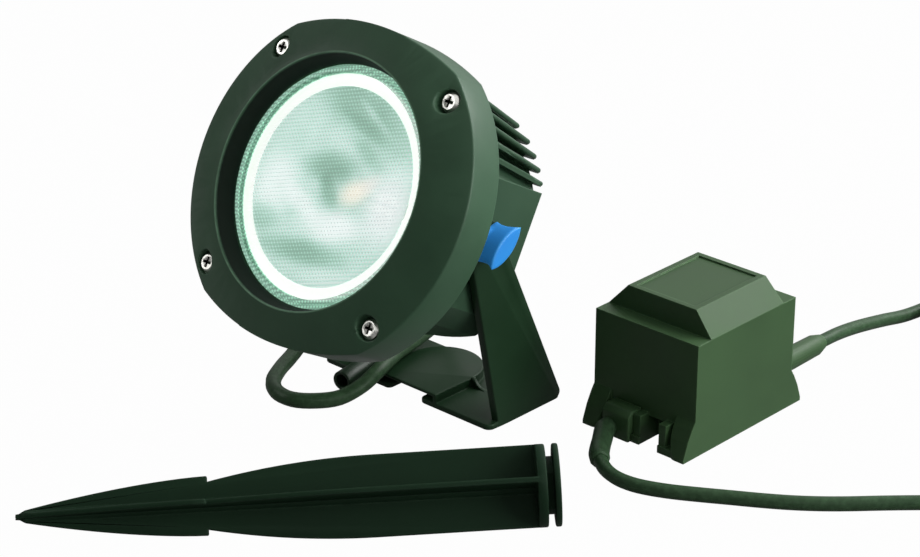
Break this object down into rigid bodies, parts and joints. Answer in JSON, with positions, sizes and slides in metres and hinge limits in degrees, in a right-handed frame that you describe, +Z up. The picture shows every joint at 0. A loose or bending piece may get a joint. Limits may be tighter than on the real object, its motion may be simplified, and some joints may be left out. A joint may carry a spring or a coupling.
{
  "type": "underwater pond light",
  "caption": "Finned pond spotlight in a tilting yoke with wing knobs, with its barbed ground stake, potted transformer and coiled leads.",
  "frame": {"origin": "on the floor at the centre of the bracket's round slot end, where the stake's axis stands when it is fitted", "axes": "+Z up, the lamp looks along -Y, the tilt axis runs along X"},
  "size_m": [0.5651, 0.5692, 0.2045],
  "materials": {
    "moulded_green": "satin moulded",
    "rubber_black": "matt",
    "cable_jacket": "satin",
    "connector_black": "satin",
    "front_glass": "prismatic back",
    "capsule_glass": "clear",
    "stainless": "polished",
    "reflector": "vapour coated",
    "white_enamel": "gloss",
    "ceramic": "matt ceramic",
    "brass": "machined",
    "knob_blue": "moulded",
    "potting_resin": "cast",
    "core_iron": "laminated",
    "winding_copper": "enamelled"
  },
  "bodies": {
    "root": {"yoke_bracket": "moulded_green", "ground_stake": "moulded_green", "trafo_case": "moulded_green", "trafo_resin": "potting_resin", "trafo_core": "core_iron", "trafo_winding": "winding_copper", "lv_outlet": "moulded_green", "lv_boot": "rubber_black", "mains_boot": "rubber_black", "lamp_lead_flex": "cable_jacket", "lamp_lead": "cable_jacket", "lamp_coil": "cable_jacket", "lamp_tail": "cable_jacket", "lamp_connector": "connector_black", "lv_lead": "cable_jacket", "lv_plug": "connector_black", "lv_pins": "brass", "mains_lead": "cable_jacket", "mains_coil": "cable_jacket", "mains_tail": "cable_jacket", "mains_plug": "connector_black", "mains_pins": "stainless", "coil_tie_lamp": "rubber_black", "coil_tie_mains": "rubber_black"},
    "head": {"lamp_housing": "moulded_green", "front_bezel": "moulded_green", "glass_gasket": "rubber_black", "front_glass": "front_glass", "glass_seal": "rubber_black", "screw_1": "stainless", "screw_2": "stainless", "screw_3": "stainless", "screw_4": "stainless", "reflector_ring": "white_enamel", "reflector_bowl": "reflector", "glare_cap": "reflector", "halogen_capsule": "capsule_glass", "lamp_base": "ceramic", "lamp_pins": "stainless", "lamp_holder": "ceramic", "cable_gland": "rubber_black", "lead_boot": "rubber_black", "insert_right": "brass", "insert_left": "brass", "washer_right": "rubber_black", "washer_left": "rubber_black"},
    "right_knob": {"knob_right": "knob_blue", "stud_right": "stainless"},
    "left_knob": {"knob_left": "knob_blue", "stud_left": "stainless"}
  },
  "joints": [
    {"name": "head_tilt", "type": "hinge", "parent": "root", "child": "head", "pos_m": [0, -0.0315, 0.1056], "axis": [-1, 0, 0], "range_deg": [-39, 45], "deforming": ["lamp_lead_flex"]},
    {"name": "right_knob_turn", "type": "hinge", "parent": "head", "child": "right_knob", "pos_m": [0.066, -0.0315, 0.1056], "axis": [1, 0, 0], "continuous": true},
    {"name": "left_knob_turn", "type": "hinge", "parent": "head", "child": "left_knob", "pos_m": [-0.066, -0.0315, 0.1056], "axis": [-1, 0, 0], "continuous": true}
  ]
}
